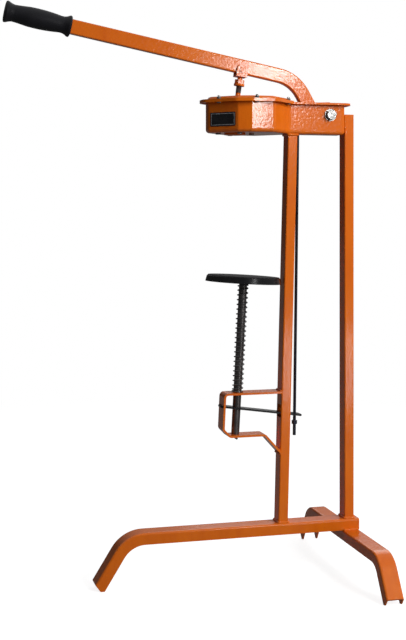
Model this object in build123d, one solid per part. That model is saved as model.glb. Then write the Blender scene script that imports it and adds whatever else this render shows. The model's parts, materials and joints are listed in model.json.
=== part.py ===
from build123d import *
import os
from math import asin, atan2, cos, degrees, hypot, radians, sin, sqrt, tan

# Floor-standing lever corker. Millimetres, +Z up, front (grip side) towards -X.
# The drawing is made with X = 0 near the nose of the head and the floor at Z = 0;
# the whole model is moved along X at the end so that its origin is the middle of its base.

# Base: a channel beam with a bent front leg, on a bent channel cross leg
channel_wall = 3.0
channel_corner = 4.0
beam_width = 40.0
beam_height = 22.0
beam_top_z = 105.0
beam_rear_x = 306.5
beam_bend_x = -169.0
beam_bend_radius = 70.0
beam_leg_slope = 58.0
leg_x = 289.0
leg_width = 35.0
leg_height = 20.0
leg_bend_y = 191.0
leg_bend_radius = 50.0
leg_slope = 57.5
toe_rise = 13.0
toe_setback = 18.0

# Posts: two rectangular tubes
tube_depth = 20.0
tube_width = 30.0
tube_wall = 1.5
tube_corner = 2.5
rear_post_x = 287.3
rear_post_top_z = 913.0
front_post_x = 168.3
front_post_lean = 1.5

# Head: a pressed open tub with a flange, a wide octagonal front and a narrow neck
sheet = 2.5
head_bottom_z = 872.0
head_height = 62.0
nose_x = -4.0
nose_half = 10.0
cheek_x = 43.0
cheek_half = 57.0
side_x = 68.0
side_half = 65.0
side_end_x = 114.0
neck_x = 159.0
neck_half = 20.0
corner_radius = 8.0
bottom_radius = 7.0
flange_width = 12.0
flange_lip = 1.5

# Cover of the wide part
cover_sheet = 2.0
cover_rise = 6.0
cover_step = 5.0
cover_inset = 1.0
cover_rear_x = 165.0
cover_slot_x = 59.0
cover_slot_length = 32.0
cover_slot_width = 17.0
cover_bolt_d = 5.0
cover_bolt_flats = 8.0
cover_bolt_out = 4.8
cover_bolt_places = ((15.0, 29.0, 225.0), (77.0, 65.0, 270.0), (149.1, 29.9, 315.0))

# Blank plate on the near front face
label_width = 55.0
label_height = 27.0
label_thick = 1.0
label_z = 897.0

# Lever
pivot_x = 245.0
pivot_z = 911.0
pivot_bolt_d = 12.0
bush_d = 20.0
lever_height = 28.0
lever_thick = 15.0
lever_wall = 1.5
lever_slope = 11.0
lever_axis_z = 1016.4
lever_front_x = -385.0
lever_bend_x = 142.3
lever_bend_radius = 74.0
lever_end_slope = 60.5
lever_tail = 44.0
cheek_plate = 4.0
grip_front_x = -395.0
grip_length = 127.0
grip_end_r = 18.0
grip_lip_r = 20.6
grip_lip = 2.5
grip_waist_r = 15.7
grip_waist = 16.0
grip_belly_r = 19.0

# Plunger rod with its depth stop
clevis_x = 65.5
clevis_rise = 7.0
clevis_pin_d = 8.0
ear_radius = 11.0
fork_drop = 9.6
fork_bridge = 4.0
ear_thick = 4.0
plunger_lean = 7.3
plunger_length = 104.8
rod_d = 10.0
plunger_d = 14.5
plunger_head = 10.0
stop_nut_drop = 19.2
stop_nut_flats = 17.0
stop_nut_height = 8.0
stop_washer_d = 21.0
stop_washer_thick = 4.0

# Jaws, their guide and the cam plate that closes them
jaw_axis_x = 53.0
jaw_height = 42.0
jaw_width = 24.0
jaw_reach = 34.0
jaw_bore_r = 8.25
jaw_open_at_rest = 1.35
jaw_pin_d = 6.0
jaw_pin_r = 24.0
guide_radius = 43.0
guide_floor = 4.0
cam_rate = 0.545
cam_thick = 4.0
cam_length = 67.0
cam_width = 56.0
cam_corner = 12.0
cam_window_length = 32.0
cam_window_width = 20.0
cam_back = 2.6
cam_forth = 8.73
cam_arm = 20.0
cam_strip = 3.0
cam_strip_y = 14.5
cam_strip_height = 9.4
cam_fork_length = 18.0
cam_fork_height = 15.0
mouth_r = 15.5
mouth_wall = 2.5

# Bottle platform: plate on a spindle that leans back a little, with its spring
spindle_foot_x = 53.3
spindle_foot_z = 276.0
spindle_lean = 3.2
spindle_d = 16.0
spindle_total = 317.0
plate_radius = 75.0
plate_top_radius = 72.5
plate_depth = 13.0
plate_wall = 3.0
hub_d = 21.0
hub_depth = 16.0
spring_wire = 2.5
spring_mean_r = 9.8
spring_pitch = 9.2
spring_washer_d = 23.0
spring_washer_thick = 2.5
retaining_pin_d = 4.0
retaining_pin_length = 26.0

# Bracket that guides the spindle
strap_width = 36.0
strap_thick = 4.0
strap_bend = 7.0
strap_top_z = 362.5
strap_front_x = 30.7
strap_front_lean = 2.7
strap_low_z = 280.0
strap_bevel = 14.0
strap_knee_x = 110.0
strap_knee_slope = 48.0

# Brake bar through the bracket and the front post, and the rod that lifts it
brake_width = 24.0
brake_thick = 3.5
brake_slope = 8.1
brake_hinge_x = 28.7
brake_hinge_z = 337.5
brake_front = 7.2
brake_rear_x = 188.5
brake_lift = 5.5
brake_drop = 1.5
brake_hole_d = 17.4
brake_slot_play = 9.0
pull_eye_x = 184.2
pull_eye_z = 921.0
pull_lean = 0.72
pull_rod_d = 6.0
pull_rod_tail = 24.5
pull_eye_r = 8.0
pull_nut_z = 300.3
pull_nut_flats = 10.0
pull_nut_height = 7.0

# Clearances
running = 0.05
sliding = 0.1
loose = 0.5
big = 2000.0

# Derived places
flange_top_z = head_bottom_z + head_height
rear_post_face_x = rear_post_x - tube_depth / 2
leg_top_z = beam_top_z - beam_height
lever_tan = tan(radians(lever_slope))
lever_half = lever_height / 2 / cos(radians(lever_slope))
clevis_z = lever_axis_z - clevis_x * lever_tan - lever_half + clevis_rise
floor_z = head_bottom_z + sheet
jaw_bottom_z = floor_z + guide_floor
jaw_top_z = jaw_bottom_z + jaw_height
cam_z = jaw_top_z + sliding
cover_top_z = flange_top_z + cover_sheet + cover_rise
neck_inner = neck_half - sheet
cheek_inner = lever_thick / 2
cheek_outer = cheek_inner + cheek_plate


def lean_plane(x, z, lean):
    """Plane at (x, 0, z) whose Z axis leans towards +X by the given angle."""
    a = radians(lean)
    return Plane(origin=(x, 0, z), x_dir=(cos(a), 0, -sin(a)), z_dir=(sin(a), 0, cos(a)))


def cross_plane(x, z, y=0.0):
    """Plane at (x, y, z) seen from the near side: local x is X, local y is Z."""
    return Plane(origin=(x, y, z), x_dir=(1, 0, 0), z_dir=(0, -1, 0))


def cross_cylinder(x, z, radius, y_low, y_high):
    """Cylinder along Y between two Y places."""
    face = cross_plane(x, z, y_high) * Circle(radius)
    return extrude(face, y_high - y_low)


def swept(section, path, across):
    """Section carried along a plane path; its local x axis stays along the given direction."""
    start = Plane(origin=path @ 0, x_dir=across, z_dir=path % 0)
    return sweep(start * section, path=path)


def tube_section(depth, width, wall, corner):
    """Rounded rectangular tube section."""
    outer = RectangleRounded(depth, width, corner)
    return outer - RectangleRounded(depth - 2 * wall, width - 2 * wall, corner - wall)


def below_floor():
    return Pos(0, 0, -big / 2) * Box(big, big, big)


def channel_section(width, height):
    """Channel with its web at local y = 0 and its flanges towards +y."""
    outer = Pos(0, height / 2) * Rectangle(width, height)
    rounded = fillet(outer.vertices().group_by(Axis.Y)[0], channel_corner)
    inner_height = height - channel_wall
    inner = Pos(0, channel_wall + inner_height / 2) * Rectangle(width - 2 * channel_wall, inner_height)
    hollow = fillet(inner.vertices().group_by(Axis.Y)[0], channel_corner - channel_wall)
    return rounded - hollow


def toe_cut(bend, top_z, slope, plane):
    """Wedge that takes the sharp outer corner off a foot, so that its web ends above the floor."""
    reach = bend + top_z / tan(radians(slope))
    outline = Polyline((reach - toe_setback, -1), (reach - toe_setback, 0),
                       (reach - toe_rise / tan(radians(slope)), toe_rise),
                       (reach + toe_rise, toe_rise), (reach + toe_rise, -1), close=True)
    return extrude(plane * make_face(outline), beam_width, both=True)


def main_beam():
    """Channel beam: level run, a large bend and a sloping front leg that stands on the floor."""
    run = (beam_top_z + beam_height) / sin(radians(beam_leg_slope))
    toe = (beam_bend_x - run * cos(radians(beam_leg_slope)), 0,
           beam_top_z - run * sin(radians(beam_leg_slope)))
    path = FilletPolyline((beam_rear_x, 0, beam_top_z), (beam_bend_x, 0, beam_top_z), toe,
                          radius=beam_bend_radius)
    body = swept(channel_section(beam_width, beam_height), path, (0, 1, 0))
    front = Plane(origin=(0, 0, 0), x_dir=(-1, 0, 0), z_dir=(0, 1, 0))
    return body - below_floor() - toe_cut(-beam_bend_x, beam_top_z, beam_leg_slope, front)


def cross_leg():
    """Channel cross leg under the rear end of the beam, bent down to two feet."""
    run = (leg_top_z + leg_height) / sin(radians(leg_slope))
    toe_y = leg_bend_y + run * cos(radians(leg_slope))
    toe_z = leg_top_z - run * sin(radians(leg_slope))
    path = FilletPolyline((leg_x, -toe_y, toe_z), (leg_x, -leg_bend_y, leg_top_z),
                          (leg_x, leg_bend_y, leg_top_z), (leg_x, toe_y, toe_z),
                          radius=leg_bend_radius)
    body = swept(channel_section(leg_width, leg_height), path, (1, 0, 0)) - below_floor()
    for side in (-1, 1):
        plane = Plane(origin=(leg_x, 0, 0), x_dir=(0, side, 0), z_dir=(side, 0, 0))
        body -= toe_cut(leg_bend_y, leg_top_z, leg_slope, plane)
    return body


def rear_post():
    """Upright tube from the beam to the back of the head, closed at its top."""
    height = rear_post_top_z - beam_top_z
    outer = extrude(RectangleRounded(tube_depth, tube_width, tube_corner), height)
    inner_face = RectangleRounded(tube_depth - 2 * tube_wall, tube_width - 2 * tube_wall,
                                  tube_corner - tube_wall)
    inner = extrude(inner_face, height - tube_wall)
    return Pos(rear_post_x, 0, beam_top_z) * (outer - inner)


def brake_plane():
    """Plane at the brake bar's hinge line: local x runs to the rear along the bar."""
    a = radians(brake_slope)
    return Plane(origin=(brake_hinge_x, 0, brake_hinge_z), x_dir=(cos(a), 0, -sin(a)),
                 z_dir=(sin(a), 0, cos(a)))


def front_post():
    """Leaning tube from the beam to the neck, with tall slots for the brake bar."""
    height = (head_bottom_z - beam_top_z) / cos(radians(front_post_lean))
    plane = lean_plane(front_post_x, head_bottom_z, front_post_lean)
    section = tube_section(tube_depth, tube_width, tube_wall, tube_corner)
    tube = extrude(plane.offset(tube_depth) * section, -(height + 2 * tube_depth))
    tube -= Pos(0, 0, head_bottom_z + big / 2) * Box(big, big, big)
    tube -= Pos(0, 0, beam_top_z - big / 2) * Box(big, big, big)
    centre_x = front_post_x - (head_bottom_z - brake_hinge_z) * tan(radians(front_post_lean))
    reach = centre_x + tube_depth - brake_hinge_x
    up = reach * tan(radians(brake_lift)) + brake_thick
    down = reach * tan(radians(brake_drop)) + brake_thick
    bar_z = brake_hinge_z - (centre_x - brake_hinge_x) * tan(radians(brake_slope))
    slot = Box(2 * tube_depth, brake_width + 2 * loose, up + down)
    return tube - Pos(centre_x, 0, bar_z + (up - down) / 2) * slot


def head_plan():
    """Plan of the head's wall: flat nose, 45 degree cheeks, straight sides, taper and neck."""
    half = [(nose_x, nose_half), (cheek_x, cheek_half), (side_x, side_half),
            (side_end_x, side_half), (neck_x, neck_half), (rear_post_face_x, neck_half)]
    far = [(x, -y) for x, y in reversed(half)]
    return make_face(Polyline(*half, *far, close=True))


def head_outline():
    return fillet(head_plan().vertices(), corner_radius)


def flange_outline():
    return offset(head_outline(), flange_width)


def jaw_centre(z=0.0):
    return Pos(jaw_axis_x, 0, z)


def guide_screw_places():
    return PolarLocations(guide_radius - 9.0, 4)


def cover_bolt_points():
    """Bolt places on the middle of the flange, near and far side."""
    points = []
    for wall_x, wall_y, direction in cover_bolt_places:
        a = radians(direction)
        x = wall_x + cover_bolt_out * cos(a)
        y = wall_y - cover_bolt_out * sin(a)
        points += [(x, y), (x, -y)]
    return points


def pull_slot():
    """Slot in the neck's floor for the pull rod, long enough for its swing with the lever."""
    x = pull_eye_x - (pull_eye_z - head_bottom_z) * tan(radians(pull_lean))
    swing = 10.0
    face = Pos(x + swing / 2, 0, head_bottom_z - 1) * SlotCenterToCenter(swing, pull_rod_d + 6 * loose)
    return extrude(face, sheet + 2)


def head_tub():
    """Pressed tub: rounded bottom edge, wall, outward flange with a small turned-down lip."""
    outline = head_outline()
    shell = extrude(outline, head_height)
    shell = fillet(shell.edges().group_by(Axis.Z)[0], bottom_radius)
    shell += Pos(0, 0, head_height - sheet) * extrude(flange_outline(), sheet)
    lip = flange_outline() - offset(head_outline(), flange_width - sheet)
    shell += Pos(0, 0, head_height - sheet - flange_lip) * extrude(lip, flange_lip)
    inside = extrude(offset(outline, -sheet), head_height)
    inside = fillet(inside.edges().group_by(Axis.Z)[0], bottom_radius - sheet)
    shell = Pos(0, 0, head_bottom_z) * (shell - Pos(0, 0, sheet) * inside)
    shell -= jaw_centre(head_bottom_z) * Cylinder(mouth_r + mouth_wall, 4 * sheet)
    for place in guide_screw_places():
        shell -= jaw_centre(head_bottom_z) * place * Cylinder(3.0, 4 * sheet)
    for x, y in cover_bolt_points():
        shell -= Pos(x, y, flange_top_z) * Cylinder(cover_bolt_d / 2 + running, 4 * sheet)
    shell -= cross_cylinder(pivot_x, pivot_z, pivot_bolt_d / 2 + running, -side_half, side_half)
    return shell - pull_slot()


def cover_front(face):
    """Keep the part of a face in front of the cover's rear edge."""
    return face & (Pos(cover_rear_x - big / 2, 0) * Rectangle(big, big))


def cover_slot(z, height):
    face = Pos(cover_slot_x, 0, z) * SlotOverall(cover_slot_length, cover_slot_width)
    return extrude(face, height)


def dome(inset, rise):
    """Raised middle of the cover: a low frustum that follows the head's plan."""
    low = cover_front(offset(head_plan(), -inset, kind=Kind.INTERSECTION))
    top = offset(low, -cover_step, kind=Kind.INTERSECTION)
    return loft([low, Pos(0, 0, rise) * top], ruled=True)


def head_cover():
    """Pressed cover: flat rim on the flange, raised middle, slot for the plunger rod."""
    rim = extrude(cover_front(flange_outline()), cover_sheet)
    cover = rim + Pos(0, 0, cover_sheet) * dome(cover_inset, cover_rise)
    cover -= dome(cover_inset + cover_sheet, cover_rise)
    cover = Pos(0, 0, flange_top_z) * cover
    for x, y in cover_bolt_points():
        cover -= Pos(x, y, flange_top_z) * Cylinder(cover_bolt_d / 2 + running, 8 * sheet)
    return cover - cover_slot(flange_top_z - 1, 4 * cover_rise)


def hexagon(flats, height):
    """Hexagonal prism standing on Z = 0, with the flats measured across."""
    return extrude(RegularPolygon(flats / sqrt(3), 6), height)


def cover_bolts():
    """Hex bolts through flange and cover rim, heads under the flange."""
    solids = []
    stack = sheet + cover_sheet
    for x, y in cover_bolt_points():
        low = flange_top_z - sheet
        head = Pos(x, y, low - 3.5) * hexagon(cover_bolt_flats, 3.5)
        shank = Pos(x, y, low + (stack + 7.0) / 2) * Cylinder(cover_bolt_d / 2, stack + 7.0)
        solids.append(head + shank)
    return Compound(solids)


def cover_nuts():
    """Hex nuts on the cover's rim."""
    solids = []
    for x, y in cover_bolt_points():
        nut = hexagon(cover_bolt_flats, 4.0) - Cylinder(cover_bolt_d / 2 + running, 20.0)
        solids.append(Pos(x, y, flange_top_z + cover_sheet) * nut)
    return Compound(solids)


def label_plate():
    """Blank plate on the near 45 degree cheek."""
    middle_x = (nose_x + cheek_x) / 2
    middle_y = -(nose_half + cheek_half) / 2
    outward = Vector(-(cheek_half - nose_half), -(cheek_x - nose_x), 0).normalized()
    along = Vector(-outward.Y, outward.X, 0)
    plane = Plane(origin=(middle_x, middle_y, label_z), x_dir=along, z_dir=outward)
    return extrude(plane * RectangleRounded(label_width, label_height, 2.0), label_thick)


def lever_path():
    """Axis of the lever: long straight run, one bend, short tail into the neck."""
    a = radians(lever_slope)
    b = radians(lever_end_slope)
    corner_run = lever_bend_radius * tan((b - a) / 2)
    corner_x = lever_bend_x + corner_run * cos(a)
    corner_z = lever_axis_z - corner_x * lever_tan
    tail = corner_run + lever_tail
    start = (lever_front_x, 0, lever_axis_z - lever_front_x * lever_tan)
    return FilletPolyline(start, (corner_x, 0, corner_z),
                          (corner_x + tail * cos(b), 0, corner_z - tail * sin(b)),
                          radius=lever_bend_radius)


def lever_tube():
    """Bent rectangular tube with the hole for the plunger's clevis pin."""
    section = tube_section(lever_thick, lever_height, lever_wall, tube_corner)
    tube = swept(section, lever_path(), (0, 1, 0))
    return tube - cross_cylinder(clevis_x, clevis_z, clevis_pin_d / 2, -lever_thick, lever_thick)


def cheek_outline():
    """Hull round the pivot eye, the drive pin, the pull rod's pin and the tube's end."""
    eye = Pos(0, 0) * Circle(bush_d / 2 + 4.0)
    drive = Pos(0, cam_arm) * Circle(6.0)
    pull = Pos(pull_eye_x - pivot_x, pull_eye_z - pivot_z) * Circle(7.0)
    end = lever_path() @ 1
    grip = Pos(end.X - pivot_x - 7.0, end.Z - pivot_z + 12.0) * Circle(9.0)
    edges = eye.edges() + drive.edges() + pull.edges() + grip.edges()
    return make_hull(edges)


def lever_cheeks():
    """Two plates welded to the sides of the lever's tail; they carry pivot bush and pins."""
    solids = []
    for low in (-cheek_outer, cheek_inner):
        plate = extrude(cross_plane(pivot_x, pivot_z, low + cheek_plate) * cheek_outline(), cheek_plate)
        plate -= cross_cylinder(pivot_x, pivot_z, bush_d / 2, -big, big)
        plate -= cross_cylinder(pull_eye_x, pull_eye_z, pull_rod_d / 2, -big, big)
        plate -= cross_cylinder(pivot_x, pivot_z + cam_arm, jaw_pin_d / 2, -big, big)
        solids.append(plate)
    return Compound(solids)


def pivot_bush():
    half = neck_inner - 2 * sliding
    bush = cross_cylinder(pivot_x, pivot_z, bush_d / 2, -half, half)
    return bush - cross_cylinder(pivot_x, pivot_z, pivot_bolt_d / 2 + running, -big, big)


def drive_pin():
    """Pin across the cheeks above the pivot; its far end works in the cam plate's fork."""
    return cross_cylinder(pivot_x, pivot_z + cam_arm, jaw_pin_d / 2, -cheek_outer,
                          cam_strip_y + cam_strip / 2 + sliding)


def pull_pin():
    return cross_cylinder(pull_eye_x, pull_eye_z, pull_rod_d / 2, -cheek_outer, cheek_outer)


def cross_hexagon(x, z, flats, y_low, y_high):
    face = cross_plane(x, z, y_high) * RegularPolygon(flats / sqrt(3), 6)
    return extrude(face, y_high - y_low)


def pivot_bolt():
    """Hex bolt through the neck, head on the near side."""
    washer = 2.5
    shank = cross_cylinder(pivot_x, pivot_z, pivot_bolt_d / 2, -neck_half - washer, neck_half + 16.0)
    return shank + cross_hexagon(pivot_x, pivot_z, 19.0, -neck_half - washer - 7.5, -neck_half - washer)


def pivot_washers():
    solids = []
    for low in (-neck_half - 2.5, neck_half):
        ring = cross_cylinder(pivot_x, pivot_z, 12.0, low, low + 2.5)
        solids.append(ring - cross_cylinder(pivot_x, pivot_z, pivot_bolt_d / 2 + running, -big, big))
    return Compound(solids)


def pivot_nut():
    nut = cross_hexagon(pivot_x, pivot_z, 19.0, neck_half + 2.5, neck_half + 12.5)
    return nut - cross_cylinder(pivot_x, pivot_z, pivot_bolt_d / 2 + running, -big, big)


def grip():
    """Moulded grip pushed over the lever's front end: flared ends and a full middle."""
    a = radians(lever_slope)
    start = Vector(grip_front_x, 0, lever_axis_z - grip_front_x * lever_tan)
    plane = Plane(origin=start, x_dir=(0, 1, 0), z_dir=(cos(a), 0, -sin(a)))
    profile = [(grip_end_r, 0), (grip_lip_r, grip_lip), (grip_waist_r, grip_waist),
               (grip_belly_r, 0.35 * grip_length), (grip_belly_r, 0.62 * grip_length),
               (grip_waist_r, grip_length - grip_waist), (grip_lip_r, grip_length - grip_lip),
               (grip_end_r, grip_length)]
    side = Spline(*profile)
    outline = make_face(side + Polyline(side @ 1, (0, grip_length), (0, 0), side @ 0))
    body = revolve(Plane.XZ * outline, Axis.Z)
    hole_depth = grip_length - (lever_front_x - grip_front_x) / cos(a)
    hole = Pos(0, 0, grip_length - hole_depth) * extrude(
        RectangleRounded(lever_thick, lever_height, tube_corner), hole_depth)
    return plane.location * (body - hole)


def plunger_plane():
    """Plane at the clevis pin with its Z axis up along the plunger rod."""
    return lean_plane(clevis_x, clevis_z, plunger_lean)


def plunger_rod():
    """Fork, neck, rod and plunger in one turned and forged piece."""
    inner = lever_thick / 2 + loose
    outer = inner + ear_thick
    bridge_z = -fork_drop
    cheek = Pos(0, bridge_z / 2) * Rectangle(2 * ear_radius, -bridge_z) + Circle(ear_radius)
    side = Plane(origin=(0, 0, 0), x_dir=(1, 0, 0), z_dir=(0, -1, 0))
    ears = []
    for low in (inner, -outer):
        ears.append(extrude(side.offset(low) * cheek, ear_thick))
    bridge = Pos(0, 0, bridge_z - fork_bridge / 2) * Box(2 * ear_radius, 2 * outer, fork_bridge)
    fork = ears[0] + ears[1] + bridge
    fork -= extrude(side.offset(-big / 2) * Circle(clevis_pin_d / 2 + running), big)
    rod_top = bridge_z - fork_bridge
    rod = Pos(0, 0, (rod_top - plunger_length) / 2) * Cylinder(rod_d / 2, plunger_length + rod_top)
    tip = Pos(0, 0, -plunger_length + plunger_head / 2) * Cylinder(plunger_d / 2, plunger_head)
    tip = chamfer(tip.edges().group_by(Axis.Z)[-1], 2.0)
    return plunger_plane().location * (fork + rod + tip)


def clevis_pin():
    half = lever_thick / 2 + loose + ear_thick
    shank = cross_cylinder(clevis_x, clevis_z, clevis_pin_d / 2, -half, half)
    for low in (-half - 1.5, half):
        shank += cross_cylinder(clevis_x, clevis_z, clevis_pin_d / 2 + 1.5, low, low + 1.5)
    return shank


def stop_nut():
    nut = hexagon(stop_nut_flats, stop_nut_height) - Cylinder(rod_d / 2 + running, 40.0)
    return plunger_plane().location * Pos(0, 0, -stop_nut_drop - stop_nut_height) * nut


def stop_washer():
    middle = -stop_nut_drop - stop_nut_height - stop_washer_thick / 2
    ring = Cylinder(stop_washer_d / 2, stop_washer_thick) - Cylinder(rod_d / 2 + running, 20.0)
    return plunger_plane().location * Pos(0, 0, middle) * ring


def jaw_guide():
    """Round guide block with two crossing channels for the four jaws."""
    height = guide_floor + jaw_height - sliding
    block = extrude(Circle(guide_radius), height)
    block = chamfer(block.edges().group_by(Axis.Z)[0], bottom_radius - sheet)
    for angle in (45, 135):
        channel = Rot(0, 0, angle) * Pos(0, 0, guide_floor + big / 2) * Box(
            big, jaw_width + 2 * sliding, big)
        block -= channel
    block -= Cylinder(mouth_r, 4 * guide_floor)
    for place in guide_screw_places():
        block -= place * Cylinder(2.5, 30.0)
    return jaw_centre(floor_z) * block


def guide_screws():
    """Button-head screws that hold the guide from below."""
    solids = []
    for place in guide_screw_places():
        head = Pos(0, 0, -1.25) * Cylinder(5.0, 2.5)
        shank = Pos(0, 0, 7.0) * Cylinder(2.5, 14.0)
        solids.append(jaw_centre(head_bottom_z) * place * (head + shank))
    return Compound(solids)


def jaw_face():
    """Plan of one jaw with the jaws closed: square bar with a 90 degree point."""
    half = jaw_width / 2
    return make_face(Polyline((running, 0), (half, half - running), (jaw_reach, half - running),
                              (jaw_reach, -half + running), (half, -half + running), close=True))


def jaw(angle):
    """One brass jaw at its rest place, with its drive pin on top."""
    height = jaw_height - 2 * sliding
    body = extrude(jaw_face(), height) - Cylinder(jaw_bore_r, 4 * height)
    body += Pos(jaw_pin_r - jaw_open_at_rest, 0, height + cam_thick / 2) * Cylinder(
        jaw_pin_d / 2, cam_thick + 2 * sliding)
    place = Rot(0, 0, angle) * Pos(jaw_open_at_rest, 0, 0)
    return jaw_centre(jaw_bottom_z + sliding) * place * body


def cam_slot(angle):
    """Slot that moves a jaw pin outwards as the plate moves to the rear."""
    a = radians(angle)
    run = Vector(cam_rate * cos(a) - 1, cam_rate * sin(a))
    middle = Vector(jaw_pin_r * cos(a), jaw_pin_r * sin(a)) + run * ((cam_forth - cam_back) / 2)
    length = run.length * (cam_forth + cam_back) + 2 * sliding
    turn = degrees(atan2(run.Y, run.X))
    return Pos(middle.X, middle.Y) * Rot(0, 0, turn) * SlotCenterToCenter(length, jaw_pin_d + 2 * sliding)


def cam_plate():
    """Sliding plate with four slanted slots, and a strip on edge back to the drive pin."""
    plan = Pos(-3.5, 0) * RectangleRounded(cam_length, cam_width, cam_corner)
    plan -= Pos(-3.0, 0) * SlotOverall(cam_window_length, cam_window_width)
    for angle in (45, 135, 225, 315):
        plan -= cam_slot(angle)
    plate = jaw_centre(cam_z) * extrude(plan, cam_thick)
    strip_low = pivot_z + bush_d / 2 + loose
    front = jaw_axis_x + jaw_pin_r
    rear = pivot_x + cam_fork_length / 2
    middle = (front + rear) / 2
    strip_z = strip_low + cam_strip_height / 2
    fork_z = strip_low + cam_fork_height / 2
    strip = Pos(middle, cam_strip_y, strip_z) * Box(rear - front, cam_strip, cam_strip_height)
    fork = Pos(pivot_x, cam_strip_y, fork_z) * Box(cam_fork_length, cam_strip, cam_fork_height)
    notch_low = pivot_z + cam_arm - jaw_pin_d / 2 - 2.2
    notch = Pos(pivot_x, cam_strip_y, notch_low + 10.0) * Box(jaw_pin_d + 2 * loose, 10.0, 20.0)
    return plate + strip + fork - notch


def mouth_ring():
    """Turned ring in the head's floor that centres the bottle's mouth."""
    low = head_bottom_z - 3.0
    outline = Polyline((mouth_r + 2.0, low), (mouth_r + mouth_wall + 3.0, low),
                       (mouth_r + mouth_wall + 3.0, head_bottom_z), (mouth_r + mouth_wall, head_bottom_z),
                       (mouth_r + mouth_wall, floor_z), (mouth_r, floor_z), (mouth_r, low + 2.0),
                       close=True)
    ring = revolve(make_face(Plane.XZ * outline), Axis.Z)
    return jaw_centre() * ring


def spindle_plane():
    return lean_plane(spindle_foot_x, spindle_foot_z, spindle_lean)


def along_spindle(z):
    """Distance along the spindle from its foot to the level z on its axis."""
    return (z - spindle_foot_z) / cos(radians(spindle_lean))


def spindle_hole(clearance):
    shape = Pos(0, 0, spindle_total / 2) * Cylinder(spindle_d / 2 + clearance, 2 * spindle_total)
    return spindle_plane().location * shape


def strap_line():
    """Middle line of the bracket strap, from the upper to the lower weld on the post."""
    lean = tan(radians(front_post_lean))
    post_face = front_post_x - tube_depth / 2 - head_bottom_z * lean
    top_x = strap_front_x - strap_thick / 2
    foot_x = top_x - (strap_top_z - strap_low_z) * tan(radians(strap_front_lean))
    knee_tan = tan(radians(strap_knee_slope))
    end_x = post_face + strap_low_z * lean + strap_thick
    bevel_x = strap_bevel * tan(radians(strap_front_lean))
    return FilletPolyline((post_face + strap_top_z * lean + strap_thick, 0, strap_top_z),
                          (top_x, 0, strap_top_z), (foot_x + bevel_x, 0, strap_low_z + strap_bevel),
                          (foot_x + strap_bevel, 0, strap_low_z), (strap_knee_x, 0, strap_low_z),
                          (end_x, 0, strap_low_z - (end_x - strap_knee_x) * knee_tan),
                          radius=strap_bend)


def post_solid():
    """The front post without its hollow, for cutting what is welded to it."""
    plane = lean_plane(front_post_x, head_bottom_z, front_post_lean)
    return extrude(plane * Rectangle(tube_depth, 4 * tube_width), -head_bottom_z)


def spindle_bracket():
    """Bent strap with guide holes for the spindle and a slot for the brake bar's nose."""
    strap = swept(Rectangle(strap_width, strap_thick), strap_line(), (0, 1, 0))
    strap -= post_solid()
    strap -= spindle_hole(sliding)
    slot = Box(6 * strap_thick, brake_width + 2 * loose, brake_thick + 4 * loose)
    return strap - brake_plane().location * slot


def spindle():
    """Round bar with a chamfered foot."""
    length = spindle_total - hub_depth
    bar = Pos(0, 0, length / 2) * Cylinder(spindle_d / 2, length)
    bar = chamfer(bar.edges().group_by(Axis.Z)[0], 2.0)
    pin_z = along_spindle(strap_low_z) - strap_thick / 2 - loose - retaining_pin_d / 2
    bar -= Pos(0, 0, pin_z) * Rot(90, 0, 0) * Cylinder(retaining_pin_d / 2, 4 * spindle_d)
    return spindle_plane().location * bar


def retaining_pin():
    """Pin through the spindle's foot that stops it under the lower arm."""
    pin_z = along_spindle(strap_low_z) - strap_thick / 2 - loose - retaining_pin_d / 2
    pin = Pos(0, 0, pin_z) * Rot(90, 0, 0) * Cylinder(retaining_pin_d / 2, retaining_pin_length)
    return spindle_plane().location * pin


def bottle_plate():
    """Pressed plate with a flared skirt and a hub below."""
    top = Polyline((0, 0), (plate_top_radius - 2.0, 0))
    edge = SagittaArc((plate_top_radius - 2.0, 0), (plate_top_radius, -2.0), -0.6)
    rest = Polyline((plate_top_radius, -2.0), (plate_radius, -plate_depth),
                    (plate_radius - plate_wall, -plate_depth), (plate_top_radius - plate_wall, -plate_wall),
                    (hub_d / 2, -plate_wall), (hub_d / 2, -hub_depth), (0, -hub_depth), (0, 0))
    face = make_face(Plane.XZ * (top + edge + rest))
    return spindle_plane().location * Pos(0, 0, spindle_total) * revolve(face, Axis.Z)


def spring_seat():
    """Level on the spindle's axis where the spring's lower washer lies on the bracket."""
    tilt = spring_washer_d / 2 * tan(radians(spindle_lean))
    return along_spindle(strap_top_z + strap_thick / 2) + tilt + running


def spring_washer():
    ring = Cylinder(spring_washer_d / 2, spring_washer_thick) - Cylinder(spindle_d / 2 + sliding, 20.0)
    return spindle_plane().location * Pos(0, 0, spring_seat() + spring_washer_thick / 2) * ring


def plate_spring():
    """Open compression spring between the washer and the plate's hub."""
    low = spring_seat() + spring_washer_thick + spring_wire / 2 + running
    high = spindle_total - hub_depth - spring_wire / 2 - running
    helix = Helix(pitch=spring_pitch, height=high - low, radius=spring_mean_r)
    section = Plane(origin=helix @ 0, z_dir=helix % 0) * Circle(spring_wire / 2)
    coil = sweep(section, path=helix, is_frenet=True)
    return spindle_plane().location * Pos(0, 0, low) * coil


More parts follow.
